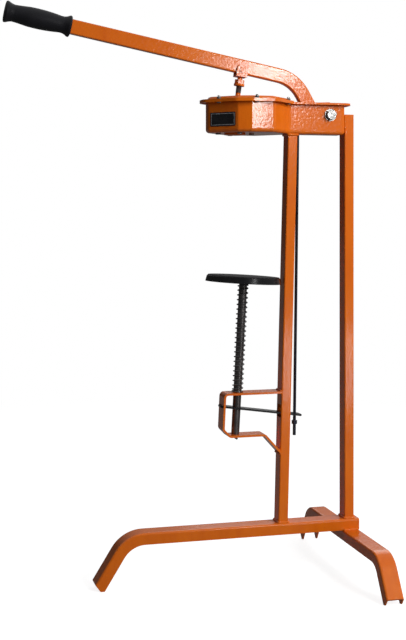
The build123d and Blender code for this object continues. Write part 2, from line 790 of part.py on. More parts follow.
def brake_bar():
    """Flat bar with the gripping hole for the spindle and a slot for the pull rod."""
    rear = (brake_rear_x - brake_hinge_x) / cos(radians(brake_slope))
    centre = (rear - brake_front) / 2
    bar = Pos(centre, 0, 0) * Box(rear + brake_front, brake_width, brake_thick)
    bar = fillet(bar.edges().filter_by(Axis.Z), 4.0)
    spindle_x = spindle_foot_x + (brake_hinge_z - spindle_foot_z) * tan(radians(spindle_lean))
    hole_x = (spindle_x - brake_hinge_x) / cos(radians(brake_slope))
    bar -= Pos(hole_x, 0, 0) * Cylinder(brake_hole_d / 2, 4 * brake_thick)
    rod_x = pull_eye_x - (pull_eye_z - brake_hinge_z) * tan(radians(pull_lean))
    slot_x = (rod_x - brake_hinge_x) / cos(radians(brake_slope))
    slot = Pos(slot_x, 0, -2 * brake_thick) * extrude(
        SlotOverall(pull_rod_d + brake_slot_play, pull_rod_d + 2 * loose), 4 * brake_thick)
    return brake_plane().location * (bar - slot)


def pull_plane():
    return lean_plane(pull_eye_x, pull_eye_z, pull_lean)


def pull_rod():
    """Long thin rod with an eye on the lever's pin."""
    eye = Rot(90, 0, 0) * Cylinder(pull_eye_r, pull_rod_d + 2.0)
    length = pull_eye_z - pull_nut_z + pull_rod_tail
    rod = Pos(0, 0, -length / 2) * Cylinder(pull_rod_d / 2, length)
    body = eye + rod - Rot(90, 0, 0) * Cylinder(pull_rod_d / 2 + running, 4 * pull_rod_d)
    return pull_plane().location * body


def pull_rod_nut():
    """Adjusting nut that lifts the brake bar."""
    drop = pull_eye_z - pull_nut_z
    nut = hexagon(pull_nut_flats, pull_nut_height) - Cylinder(pull_rod_d / 2, 40.0)
    return pull_plane().location * Pos(0, 0, -drop - pull_nut_height / 2) * nut


def build_nodes():
    """Every sub-part by its node's name, in the drawing's frame."""
    nodes = {
        "main_beam": main_beam(),
        "cross_leg": cross_leg(),
        "rear_post": rear_post(),
        "front_post": front_post(),
        "head_tub": head_tub(),
        "head_cover": head_cover(),
        "cover_bolts": cover_bolts(),
        "cover_nuts": cover_nuts(),
        "label_plate": label_plate(),
        "lever_tube": lever_tube(),
        "lever_cheeks": lever_cheeks(),
        "lever_grip": grip(),
        "pivot_bush": pivot_bush(),
        "drive_pin": drive_pin(),
        "pull_pin": pull_pin(),
        "pivot_bolt": pivot_bolt(),
        "pivot_washers": pivot_washers(),
        "pivot_nut": pivot_nut(),
        "plunger_rod": plunger_rod(),
        "clevis_pin": clevis_pin(),
        "stop_nut": stop_nut(),
        "stop_washer": stop_washer(),
        "jaw_guide": jaw_guide(),
        "guide_screws": guide_screws(),
        "cam_plate": cam_plate(),
        "mouth_ring": mouth_ring(),
        "spindle_bracket": spindle_bracket(),
        "spindle": spindle(),
        "retaining_pin": retaining_pin(),
        "bottle_plate": bottle_plate(),
        "spring_washer": spring_washer(),
        "plate_spring": plate_spring(),
        "brake_bar": brake_bar(),
        "pull_rod": pull_rod(),
        "pull_rod_nut": pull_rod_nut(),
    }
    for number, angle in enumerate((45, 135, 225, 315), start=1):
        nodes[f"jaw_{number}"] = jaw(angle)
    return nodes


def model_shift(nodes):
    """Move along X that puts the origin under the middle of the object's length."""
    low = min(shape.bounding_box().min.X for shape in nodes.values())
    high = max(shape.bounding_box().max.X for shape in nodes.values())
    return -(low + high) / 2


nodes = build_nodes()
shift_x = model_shift(nodes)
os.makedirs("parts", exist_ok=True)
for name, shape in nodes.items():
    export_step(Pos(shift_x, 0, 0) * shape, f"parts/{name}.step")
print("moved along X by", round(shift_x, 3))
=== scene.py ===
import json
from math import cos, hypot, pi, radians, sin, sqrt, tan, tau

import bmesh
import bpy
import numpy as np
from bpy.props import FloatProperty, FloatVectorProperty, PointerProperty
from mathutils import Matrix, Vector


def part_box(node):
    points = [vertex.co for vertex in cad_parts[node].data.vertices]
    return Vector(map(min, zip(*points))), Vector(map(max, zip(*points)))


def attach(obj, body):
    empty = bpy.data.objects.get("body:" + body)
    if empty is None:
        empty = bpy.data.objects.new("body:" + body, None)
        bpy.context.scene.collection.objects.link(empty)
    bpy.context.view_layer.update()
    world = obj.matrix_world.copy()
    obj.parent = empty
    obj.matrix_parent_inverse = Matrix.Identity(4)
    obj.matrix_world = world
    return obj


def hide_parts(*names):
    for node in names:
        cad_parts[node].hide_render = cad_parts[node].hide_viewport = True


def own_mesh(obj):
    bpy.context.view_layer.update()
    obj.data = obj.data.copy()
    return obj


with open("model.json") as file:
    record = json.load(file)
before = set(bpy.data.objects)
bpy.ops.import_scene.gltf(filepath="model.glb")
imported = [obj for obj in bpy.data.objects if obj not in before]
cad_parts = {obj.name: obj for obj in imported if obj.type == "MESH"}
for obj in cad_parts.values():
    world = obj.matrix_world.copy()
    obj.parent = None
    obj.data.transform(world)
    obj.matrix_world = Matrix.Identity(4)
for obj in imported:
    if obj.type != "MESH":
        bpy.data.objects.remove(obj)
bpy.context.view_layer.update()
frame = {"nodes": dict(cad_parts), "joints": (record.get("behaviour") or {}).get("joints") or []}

bl_info = {
    "name": "Lever Corker Dressing",
    "version": (1, 0, 0),
    "blender": (4, 5, 0),
    "location": "View3D > Sidebar > Corker",
    "description": "Finishes, weld beads, grip, spring and stage for a floor-standing lever corker",
    "category": "Object",
}

joints = {joint["name"]: joint for joint in frame["joints"]}

# Boxes of the welded pieces, read from the frame in metres
beam_low, beam_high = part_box("main_beam")
post_low, post_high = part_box("rear_post")
leg_low, leg_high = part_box("cross_leg")
front_low, front_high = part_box("front_post")

# Stock of the welded pieces, in metres
post_half_width = 0.015
post_depth = 0.020
beam_half_width = 0.020
strap_thickness = 0.004
spring_washer_thickness = 0.0025

# How far the pieces stand off the level or the upright at rest
lever_slope = radians(11.0)
plunger_lean = radians(7.3)
pull_rod_lean = radians(0.72)
front_post_lean = radians(1.5)


class CorkerPaint(bpy.types.PropertyGroup):
    """Colours and surface sizes of the finishes."""
    enamel: FloatVectorProperty(name="Enamel", description="Colour of the enamelled steel",
                                subtype="COLOR", size=3, default=(0.78, 0.165, 0.006), min=0, max=1)
    enamel_deep: FloatVectorProperty(name="Enamel, thick", description="Colour where the enamel lies thick",
                                     subtype="COLOR", size=3, default=(0.66, 0.115, 0.005), min=0, max=1)
    enamel_grain: FloatProperty(name="Enamel grain", description="Bumps of the enamel's skin per metre",
                                default=190.0, min=20, max=2000)
    black: FloatVectorProperty(name="Black paint", description="Colour of the painted black steel",
                               subtype="COLOR", size=3, default=(0.005, 0.005, 0.006), min=0, max=1)
    grip: FloatVectorProperty(name="Grip", description="Colour of the moulded grip",
                              subtype="COLOR", size=3, default=(0.006, 0.006, 0.008), min=0, max=1)
    zinc: FloatVectorProperty(name="Zinc", description="Colour of the plated fasteners",
                              subtype="COLOR", size=3, default=(0.78, 0.78, 0.76), min=0, max=1)
    steel: FloatVectorProperty(name="Oiled steel", description="Colour of the drawn and oiled bar",
                               subtype="COLOR", size=3, default=(0.085, 0.078, 0.076), min=0, max=1)
    rod: FloatVectorProperty(name="Blued rod", description="Colour of the thin pull rod",
                             subtype="COLOR", size=3, default=(0.020, 0.023, 0.035), min=0, max=1)
    wire: FloatVectorProperty(name="Spring wire", description="Colour of the platform's spring",
                              subtype="COLOR", size=3, default=(0.11, 0.108, 0.11), min=0, max=1)
    brass: FloatVectorProperty(name="Brass", description="Colour of the jaws",
                               subtype="COLOR", size=3, default=(0.72, 0.47, 0.17), min=0, max=1)


class CorkerSizes(bpy.types.PropertyGroup):
    """Sizes of the pieces that dress the frame."""
    bead: FloatProperty(name="Weld bead", description="Radius of the fillet welds",
                        default=0.0028, min=0.001, max=0.006, subtype="DISTANCE", unit="LENGTH")
    ripple: FloatProperty(name="Weld ripple", description="Length of one ripple of a weld",
                          default=0.0022, min=0.001, max=0.01, subtype="DISTANCE", unit="LENGTH")
    thread: FloatProperty(name="Thread height", description="Height of the dressed threads above the core",
                          default=0.0004, min=0.0001, max=0.001, subtype="DISTANCE", unit="LENGTH")
    coils: FloatProperty(name="Spring turns", description="Turns of the platform's spring",
                         default=23.0, min=5, max=60)


class CorkerStage(bpy.types.PropertyGroup):
    """Camera, lamps and ground."""
    camera: FloatVectorProperty(name="Camera", description="Place of the camera", subtype="TRANSLATION",
                                size=3, default=(-0.5444, -2.2061, 0.7180), unit="LENGTH")
    turn: FloatProperty(name="Turn", description="Angle of the view away from straight ahead",
                        default=radians(14.7), subtype="ANGLE")
    lens: FloatProperty(name="Lens", description="Focal length", default=65.81, min=10, max=300)
    rise: FloatProperty(name="Rise", description="Vertical shift of the picture, in picture heights",
                        default=-0.16875, min=-0.4, max=0.4)
    key: FloatProperty(name="Key", description="Power of the main lamp", default=30.0, min=0, unit="POWER")
    glint: FloatProperty(name="Glint", description="Power of the small lamp at the front right",
                         default=4.2, min=0, unit="POWER")
    air: FloatProperty(name="Air", description="Strength of the surrounding light", default=0.45, min=0)
    white: FloatProperty(name="White ground", description="Plain white added to the lit ground",
                         default=0.84, min=0, max=1)
    mirror: FloatProperty(name="Mirrored white", description="Share of the white that gloss mirrors",
                          default=0.5, min=0, max=1)


class Value:
    """A node output with arithmetic: each operator adds one Math node to the tree."""

    def __init__(self, tree, socket):
        self.tree, self.socket = tree, socket

    def math(self, operation, *others, clamp=False):
        node = self.tree.nodes.new("ShaderNodeMath")
        node.operation, node.use_clamp = operation, clamp
        for place, item in zip(node.inputs, (self,) + others):
            if isinstance(item, Value):
                self.tree.links.new(item.socket, place)
            else:
                place.default_value = item
        return Value(self.tree, node.outputs[0])

    def constant(self, number):
        node = self.tree.nodes.new("ShaderNodeValue")
        node.outputs[0].default_value = number
        return Value(self.tree, node.outputs[0])

    def __add__(self, other):
        return self.math("ADD", other)

    def __sub__(self, other):
        return self.math("SUBTRACT", other)

    def __mul__(self, other):
        return self.math("MULTIPLY", other)

    def __truediv__(self, other):
        return self.math("DIVIDE", other)

    def __pow__(self, other):
        return self.math("POWER", other)

    def __rsub__(self, other):
        return self.constant(other).math("SUBTRACT", self)

    __radd__, __rmul__ = __add__, __mul__

    def size(self):
        """The value without its sign."""
        return self.math("ABSOLUTE")

    def over(self, low, high):
        """0 at low, 1 at high, straight between and held outside."""
        return ((self - low) / (high - low)).math("ADD", 0.0, clamp=True)


class Nodes:
    """A node tree: makes its nodes and takes expressions of Value."""

    def __init__(self, tree):
        self.tree = tree

    def node(self, kind, settings=None, **inputs):
        """One node of that type; settings are its properties, inputs its sockets by name."""
        node = self.tree.nodes.new(kind)
        for key, value in (settings or {}).items():
            setattr(node, key, value)
        for key, value in inputs.items():
            self.feed(node.inputs[key.replace("_", " ")], value)
        return node

    def feed(self, place, value):
        """Link an expression or a socket to an input, or set a plain value; colours have three parts."""
        if isinstance(value, Value):
            value = value.socket
        if isinstance(value, bpy.types.NodeSocket):
            self.tree.links.new(value, place)
        elif place.type == "RGBA":
            place.default_value = (*value, 1.0)
        else:
            place.default_value = value

    def split(self, place):
        """X, Y and Z of a vector."""
        parts = self.node("ShaderNodeSeparateXYZ", Vector=place)
        return [Value(self.tree, socket) for socket in parts.outputs]

    def rays(self):
        """Two switches: 1 for what the camera sees directly, and 1 for what gloss mirrors."""
        ray = self.node("ShaderNodeLightPath")
        return [Value(self.tree, ray.outputs[name]) for name in ("Is Camera Ray", "Is Glossy Ray")]


class Finish(Nodes):
    """A procedural material on a piece's Object coordinates."""

    def __init__(self, name):
        self.material = bpy.data.materials.new(name)
        self.material.use_nodes = True
        super().__init__(self.material.node_tree)
        self.shader = self.tree.nodes["Principled BSDF"]
        self.place = self.node("ShaderNodeTexCoord").outputs["Object"]

    def noise(self, scale, detail=2.0, rough=0.5, at=None):
        """Soft noise from 0 to 1 with that many cells per metre."""
        node = self.node("ShaderNodeTexNoise", Vector=at or self.place, Scale=scale, Detail=detail,
                         Roughness=rough)
        return Value(self.tree, node.outputs["Fac"])

    def cells(self, scale):
        """Distance to the nearest cell point."""
        node = self.node("ShaderNodeTexVoronoi", Vector=self.place, Scale=scale)
        return Value(self.tree, node.outputs["Distance"])

    def stretched(self, scale):
        """Object coordinates times three numbers, for noise of scale 1."""
        return self.node("ShaderNodeMapping", Vector=self.place, Scale=scale).outputs["Vector"]

    def mix(self, amount, first, second):
        """Colour between two colours."""
        node = self.node("ShaderNodeMix", {"data_type": "RGBA"})
        self.feed(node.inputs["Factor"], amount)
        for name, colour in (("A", first), ("B", second)):
            self.feed(next(s for s in node.inputs if s.name == name and s.type == "RGBA"), colour)
        return next(s for s in node.outputs if s.type == "RGBA")

    def bump(self, height, strength, distance):
        """Relief of that height, where 1 stands for distance in metres."""
        node = self.node("ShaderNodeBump", Height=height, Strength=strength, Distance=distance)
        self.feed(self.shader.inputs["Normal"], node.outputs["Normal"])

    def set(self, **inputs):
        """Feed the shader's inputs by name and give the material."""
        for key, value in inputs.items():
            self.feed(self.shader.inputs[key.replace("_", " ")], value)
        return self.material


def middle(node):
    """Middle of a node's box."""
    low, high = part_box(node)
    return (low + high) / 2


def corners(node):
    """Corners of a node's mesh, as rows of X, Y and Z."""
    places = np.empty(len(node.data.vertices) * 3)
    node.data.vertices.foreach_get("co", places)
    return places.reshape(-1, 3)


def slide_axis():
    """Direction of the platform's slide, of length 1."""
    return Vector(joints["platform_slide"]["axis"]).normalized()


def times(colour, factor):
    """Colour with each part multiplied."""
    return tuple(part * factor for part in colour)


def enamel(name, paint, skin):
    """Brushed-on glossy enamel: orange peel as deep as skin, thick and thin patches, a few dirt spots."""
    f = Finish(name)
    dirt = (0.22, 0.03, 0.004)
    patches = f.noise(7.0, detail=3.0, rough=0.6)
    sags = f.noise(1.0, at=f.stretched((60, 60, 14)))
    peel = f.noise(paint.enamel_grain, detail=0.8)
    grit = f.cells(paint.enamel_grain * 1.3)
    specks = f.noise(520.0, detail=1.0).over(0.72, 0.80)
    thick = (patches * 0.7 + sags * 0.4).over(0.42, 0.80)
    colour = f.mix(thick, paint.enamel, paint.enamel_deep)
    colour = f.mix(specks * 0.3, colour, dirt)
    height = peel + grit.over(0.0, 0.6) * 0.2 + sags * 0.4
    f.bump(height, strength=0.9, distance=skin)
    rough = 0.11 + peel * 0.06 + thick * 0.03
    return f.set(Base_Color=colour, Roughness=rough, Coat_Weight=0.1, Coat_Roughness=0.06,
                 Specular_IOR_Level=0.3)


def black_enamel(name, paint):
    """Black gloss paint with faint dust and small chips, scuffed matt where bottles stand."""
    f = Finish(name)
    dusty, chipped = (0.016, 0.015, 0.017), (0.14, 0.12, 0.11)
    axis = slide_axis()
    x, y, z = f.split(f.place)
    along = x * axis.x + y * axis.y + z * axis.z
    top = float((corners(frame["nodes"]["bottle_plate"]) @ np.array(axis)).max())
    worn = along.over(top - 0.0012, top - 0.0006)
    dust = f.noise(45.0, detail=4.0, rough=0.65)
    chips = f.noise(260.0).over(0.72, 0.75)
    colour = f.mix(dust.over(0.4, 0.9) * 0.5, paint.black, dusty)
    colour = f.mix(chips * 0.5, colour, chipped)
    f.bump(f.noise(320.0) * 0.6 + dust * 0.5, strength=0.4, distance=0.0005)
    rough = 0.20 + dust * 0.12 + worn * 0.6
    return f.set(Base_Color=colour, Roughness=rough, Specular_IOR_Level=0.2)


def plated(name, paint, dark):
    """Zinc plating: cloudy spangle, fine scratches and dull spots, duller as dark goes to 1."""
    f = Finish(name)
    cloud = f.noise(120.0, detail=3.0, rough=0.6)
    lines = f.noise(1.0, at=f.stretched((1500, 90, 1500)))
    shade = (cloud * 0.6 + lines * 0.4).over(0.3, 0.75)
    low = times(paint.zinc, 0.3 - 0.2 * dark)
    high = times(paint.zinc, 0.95 - 0.5 * dark)
    f.bump(lines * 0.5 + cloud * 0.8, strength=0.3, distance=0.0003)
    return f.set(Base_Color=f.mix(shade, low, high), Metallic=1.0, Roughness=0.16 + cloud * 0.16)


def oiled(name, colour_low, gain, along):
    """Drawn bar with an oil film: lines along or around it and rub marks, brighter by that gain."""
    f = Finish(name)
    wave = (70, 70, 1600) if along else (1600, 1600, 60)
    lines = f.noise(1.0, detail=3.0, rough=0.6, at=f.stretched(wave))
    rub = f.noise(38.0, detail=4.0, rough=0.6).over(0.45, 0.8)
    shade = (lines * 0.7 + rub * 0.6).over(0.3, 1.0)
    f.bump(lines, strength=0.3, distance=0.0003)
    return f.set(Base_Color=f.mix(shade, colour_low, times(colour_low, gain)), Metallic=0.85,
                 Roughness=0.30 + rub * 0.18)


def brass(name, paint):
    """Cast and milled brass with a light tarnish."""
    f = Finish(name)
    tarnish = f.noise(60.0, detail=4.0, rough=0.6).over(0.4, 0.8)
    mill = f.noise(1.0, at=f.stretched((900, 900, 60)))
    f.bump(mill, strength=0.25, distance=0.0003)
    return f.set(Base_Color=f.mix(tarnish, paint.brass, times(paint.brass, 0.5)), Metallic=1.0,
                 Roughness=0.26 + tarnish * 0.2)


def cast_iron(name):
    """Sand-cast grey iron, oiled."""
    f = Finish(name)
    dark, light = (0.05, 0.05, 0.055), (0.12, 0.12, 0.125)
    grain = f.noise(420.0, detail=3.0, rough=0.6)
    f.bump(grain, strength=0.6, distance=0.0008)
    return f.set(Base_Color=f.mix(grain, dark, light), Metallic=0.7, Roughness=0.45 + grain * 0.2)


def moulded(name, paint):
    """Black moulded grip: fine leather-like skin with smears of the hand."""
    f = Finish(name)
    smeared = (0.014, 0.014, 0.019)
    skin = f.cells(900.0)
    smear = f.noise(30.0, detail=3.0, rough=0.6)
    colour = f.mix(smear.over(0.4, 0.9) * 0.6, paint.grip, smeared)
    f.bump(skin * 0.5 + smear * 0.2, strength=0.2, distance=0.0004)
    return f.set(Base_Color=colour, Roughness=0.42 + smear * 0.16, Specular_IOR_Level=0.25)


def blank_label(name, centre, half_long, half_high):
    """Black plate at 45 degrees with a thin pale frame line and nothing else on it.

    The line runs where the distance to the nearest edge lies between line_start and line_end.
    """
    f = Finish(name)
    black, scuffed, pale = (0.008, 0.008, 0.010), (0.03, 0.03, 0.034), (0.42, 0.42, 0.44)
    line_start, line_end, blur = 0.0022, 0.0031, 0.0002
    x, y, z = f.split(f.place)
    along = ((x - centre.x) - (y - centre.y)) * sqrt(0.5)
    gap = (half_long - along.size()).math("MINIMUM", half_high - (z - centre.z).size())
    line = gap.over(line_start, line_start + blur) * (1.0 - gap.over(line_end, line_end + blur))
    scuff = f.noise(70.0, detail=4.0, rough=0.6)
    colour = f.mix(scuff.over(0.4, 0.9) * 0.5, black, scuffed)
    f.bump(scuff, strength=0.15, distance=0.0003)
    return f.set(Base_Color=f.mix(line, colour, pale), Roughness=0.20 + scuff * 0.15)


def finishes():
    """Every finish by name, made once."""
    if "corker enamel" not in bpy.data.materials:
        paint = bpy.context.scene.corker_paint
        low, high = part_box("label_plate")
        half_long = hypot(high.x - low.x, high.y - low.y) / 2
        enamel("corker enamel", paint, skin=0.00015)
        enamel("corker thick enamel", paint, skin=0.00022)
        black_enamel("corker black", paint)
        plated("corker zinc", paint, dark=0.5)
        plated("corker dull zinc", paint, dark=0.8)
        oiled("corker oiled bar", paint.steel, gain=2.1, along=False)
        oiled("corker drawn rod", paint.rod, gain=1.8, along=True)
        oiled("corker spring wire", paint.wire, gain=1.6, along=True)
        brass("corker brass", paint)
        cast_iron("corker iron")
        moulded("corker grip", paint)
        blank_label("corker label", (low + high) / 2, half_long, (high.z - low.z) / 2)
    return bpy.data.materials


def closed_piece(name, grids, smooth=True):
    """Object over grids of points of shape (rows, columns, 3).

    Each grid has walls between its rows, closes on itself around its columns and has a cap at its
    first and at its last row. Faces are turned outwards.
    """
    faces, start = [], 0
    for points in grids:
        rows, columns, _ = points.shape
        index = start + np.arange(rows * columns).reshape(rows, columns)
        beside = np.roll(index, -1, axis=1)
        walls = np.stack([index[:-1], beside[:-1], beside[1:], index[1:]], axis=-1).reshape(-1, 4)
        faces += walls.tolist() + [index[0][::-1].tolist(), index[-1].tolist()]
        start += rows * columns
    mesh = bpy.data.meshes.new(name)
    mesh.from_pydata(np.concatenate([points.reshape(-1, 3) for points in grids]).tolist(), [], faces)
    if smooth:
        mesh.polygons.foreach_set("use_smooth", [len(face) == 4 for face in faces])
    mesh.update()
    mesh.validate()
    work = bmesh.new()
    work.from_mesh(mesh)
    bmesh.ops.recalc_face_normals(work, faces=work.faces)
    work.to_mesh(mesh)
    work.free()
    piece = bpy.data.objects.new(name, mesh)
    bpy.context.scene.collection.objects.link(piece)
    return piece


def settle(piece, body, material, replaced=()):
    """Finish a new piece: material, body, slot and the nodes it stands for."""
    piece.data.materials.append(material)
    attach(piece, body)
    if replaced:
        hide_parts(*replaced)
    return piece


def full_turn(around):
    """Angles of so many points spread evenly around a circle."""
    return np.linspace(0, tau, around, endpoint=False)


def spokes(axis, turn):
    """Directions square to an axis: cos(turn) of one normal plus sin(turn) of the other."""
    side = axis.orthogonal().normalized()
    up = axis.cross(side)
    return np.cos(turn)[:, None] * np.array(side) + np.sin(turn)[:, None] * np.array(up)


def about_axis(origin, axis, distances, radii):
    """Grid of points: origin plus each row's distance along the axis plus its radii times the spokes."""
    axis = Vector(axis).normalized()
    ring = spokes(axis, full_turn(radii.shape[1]))
    return np.array(origin) + distances[:, None, None] * np.array(axis) + radii[:, :, None] * ring[None]


def turned(name, profile, origin, axis, around):
    """Surface of revolution: radius and distance pairs turned about an axis through origin."""
    radii = np.repeat(profile[:, :1], around, axis=1)
    return closed_piece(name, [about_axis(origin, axis, profile[:, 1], radii)])


def carried_normals(path):
    """Two normals at each point of a polyline, carried along it without twist."""
    steps = np.gradient(path, axis=0)
    tangent = steps / np.linalg.norm(steps, axis=1)[:, None]
    first = np.cross(tangent[0], [0.31, 0.22, 0.93])
    side = np.empty_like(path)
    side[0] = first / np.linalg.norm(first)
    for k in range(1, len(path)):
        bent = side[k - 1] - tangent[k] * np.dot(side[k - 1], tangent[k])
        side[k] = bent / np.linalg.norm(bent)
    return side, np.cross(tangent, side)


def tube(name, path, radius, around):
    """Round tube: at each path point a circle of that point's radius in the carried normals."""
    radius = np.broadcast_to(radius, (len(path),))
    side, up = carried_normals(path)
    turn = full_turn(around)
    ring = np.cos(turn)[None, :, None] * side[:, None, :] + np.sin(turn)[None, :, None] * up[:, None, :]
    return closed_piece(name, [path[:, None, :] + ring * radius[:, None, None]])


def walked(points):
    """Distance along a polyline at each of its points."""
    return np.concatenate([[0], np.cumsum(np.linalg.norm(np.diff(points, axis=0), axis=1))])


def smooth_profile(points, count):
    """Cubic curve through the points, sampled evenly by its chord length.

    Between two points it is the Hermite blend of their places and slopes by the share s walked.
    """
    points = np.asarray(points, float)
    chord = walked(points)
    slope = np.gradient(points, chord, axis=0)
    t = np.linspace(0, chord[-1], count)
    k = np.clip(np.searchsorted(chord, t, side="right") - 1, 0, len(chord) - 2)
    span = (chord[k + 1] - chord[k])[:, None]
    s = (t - chord[k])[:, None] / span
    return ((2 * s**3 - 3 * s**2 + 1) * points[k] + (s**3 - 2 * s**2 + s) * span * slope[k]
            + (3 * s**2 - 2 * s**3) * points[k + 1] + (s**3 - s**2) * span * slope[k + 1])


def bead(name, route, radius, ripple, seed):
    """Weld bead: a tube along the route whose radius swells once per ripple and wanders a little."""
    rows_per_ripple, rows_per_drift = 5, 9
    route = np.asarray(route, float)
    chord = walked(route)
    count = max(8, int(chord[-1] / ripple * rows_per_ripple))
    knots = max(4, count // rows_per_drift)
    t = np.linspace(0, chord[-1], count)
    path = np.stack([np.interp(t, chord, route[:, k]) for k in range(3)], axis=1)
    chance = np.random.default_rng(seed)
    drift = np.interp(t, np.linspace(0, chord[-1], knots), chance.uniform(-1, 1, knots))
    swell = 0.86 + 0.10 * np.abs(np.sin(pi * t / ripple)) + 0.10 * drift
    ends = np.clip(np.minimum(t, chord[-1] - t) / radius, 0, 1)
    swell *= np.sqrt(np.maximum(1 - (1 - ends) ** 2, 0.04))
    piece = tube(name, path, radius * swell, around=12)
    return settle(piece, "frame", finishes()["corker thick enamel"])


def box_route(low_x, high_x, half_y, z):
    """Closed rectangle with rounded corners at one height, as route points."""
    corner = 0.002
    right, left, back = high_x - corner, low_x + corner, half_y - corner
    points = []
    for x, y, start in ((right, back, 0), (left, back, 90), (left, -back, 180), (right, -back, 270)):
        for step in range(0, 91, 30):
            turn = radians(start + step)
            points.append((x + corner * cos(turn), y + corner * sin(turn), z))
    points.append(points[0])
    return points


def thread(name, origin, axis, radius, height, pitch, length, around):
    """Screw thread: radius plus height times a triangle wave of distance minus turn share.

    The wave's crests are cut flat, and it fades out within 0.7 of a pitch from both ends.
    """
    rows_per_pitch = 6
    z = np.linspace(0, length, max(8, int(length / pitch * rows_per_pitch)))
    phase = (z[:, None] / pitch - full_turn(around)[None, :] / tau) % 1.0
    wave = np.clip((1.0 - np.abs(2 * phase - 1.0)) * 1.25, 0, 1)
    ends = np.clip(np.minimum(z, length - z) / (pitch * 0.7), 0, 1)[:, None]
    return closed_piece(name, [about_axis(origin, axis, z, radius + height * wave * ends)])


def fastener(origin, axis, length, nut_start, nut_end, flats, head, shank, point, chamfer):
    """Closed grid of a bolt with its nut: rings stacked along the axis from the face of the head.

    A hexagon's radius is flats / 2 / cos(angle from the nearest flat's middle), cut back by 30 degree
    cones to a round face of 0.47 flats at both ends. Head, shank, point and chamfer are the bolt's.
    """
    turn = full_turn(48)
    tip = 0.00002
    from_flat = (turn + pi / 6) % (pi / 3) - pi / 6
    face, cone = flats * 0.47, flats * 0.11 / sqrt(3)

    def disc(place, radius):
        return [(place, np.full(turn.shape, radius))]

    def hexagon(start, end):
        rows = ((start, 0.0), (start + cone / 2, cone / 2), (start + cone, cone),
                (end - cone, cone), (end - cone / 2, cone / 2), (end, 0.0))
        return [(place, np.minimum(flats / 2 / np.cos(from_flat), face + depth * sqrt(3)))
                for place, depth in rows]

    rings = (disc(0.0, tip) + hexagon(0.0, head) + disc(head, shank) + disc(nut_start, shank)
             + hexagon(nut_start, nut_end) + disc(nut_end, shank) + disc(length - chamfer, shank)
             + disc(length, point) + disc(length, tip))
    distances, radii = (np.array(column) for column in zip(*rings))
    return about_axis(origin, axis, distances, radii)


def island_middles(node):
    """X and Y of the middle of each separate solid in a node: its corners grouped within 20 mm."""
    left = corners(node)
    middles = []
    while len(left):
        near = np.hypot(*(left[:, :2] - left[0, :2]).T) < 0.02
        group = left[near]
        middles.append(tuple((group.min(axis=0) + group.max(axis=0))[:2] / 2))
        left = left[~near]
    return middles


class CORKER_OT_finish_frame(bpy.types.Operator):
    """Give every carried-over piece of the frame its finish"""
    bl_idname = "corker.finish_frame"
    bl_label = "Finish the frame"

    groups = {
        "corker enamel": ("main_beam", "rear_post", "front_post", "spindle_bracket", "mouth_ring"),
        "corker thick enamel": ("head_tub", "head_cover", "lever_tube", "lever_cheeks", "cross_leg",
                                "plunger_rod", "stop_nut", "stop_washer", "clevis_pin"),
        "corker black": ("bottle_plate", "brake_bar"),
        "corker zinc": ("pivot_washers", "drive_pin", "pull_pin", "pivot_bush"),
        "corker dull zinc": ("guide_screws", "cam_plate", "spring_washer"),
        "corker oiled bar": ("spindle", "retaining_pin"),
        "corker drawn rod": ("pull_rod", "pull_rod_nut"),
        "corker brass": ("jaw_1", "jaw_2", "jaw_3", "jaw_4"),
        "corker iron": ("jaw_guide",),
        "corker label": ("label_plate",),
    }

    def execute(self, context):
        made = finishes()
        for finish, nodes in self.groups.items():
            for name in nodes:
                node = frame["nodes"][name]
                node.data.materials.clear()
                node.data.materials.append(made[finish])
        return {"FINISHED"}


class CORKER_OT_fasteners(bpy.types.Operator):
    """Turn the chamfered bolts and nuts of the pivot and the cover"""
    bl_idname = "corker.fasteners"
    bl_label = "Fasteners"

    def execute(self, context):
        zinc = finishes()["corker zinc"]
        pivot = middle("pivot_bush")
        low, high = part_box("pivot_bolt")
        nut_low, nut_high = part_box("pivot_nut")
        grids = [fastener((pivot.x, low.y, pivot.z), (0, 1, 0), high.y - low.y,
                          nut_low.y - low.y, nut_high.y - low.y,
                          flats=0.019, head=0.0075, shank=0.006, point=0.0052, chamfer=0.0008)]
        piece = closed_piece("pivot_fastener", grids, smooth=False)
        settle(piece, "frame", zinc, ("pivot_bolt", "pivot_nut"))

        low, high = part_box("cover_bolts")
        nut_low, nut_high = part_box("cover_nuts")
        grids = [fastener((x, y, low.z), (0, 0, 1), high.z - low.z,
                          nut_low.z - low.z, nut_high.z - low.z,
                          flats=0.008, head=0.0035, shank=0.0025, point=0.0021, chamfer=0.0005)
                 for x, y in island_middles(frame["nodes"]["cover_nuts"])]
        piece = closed_piece("cover_fasteners", grids, smooth=False)
        settle(piece, "frame", zinc, ("cover_bolts", "cover_nuts"))
        return {"FINISHED"}


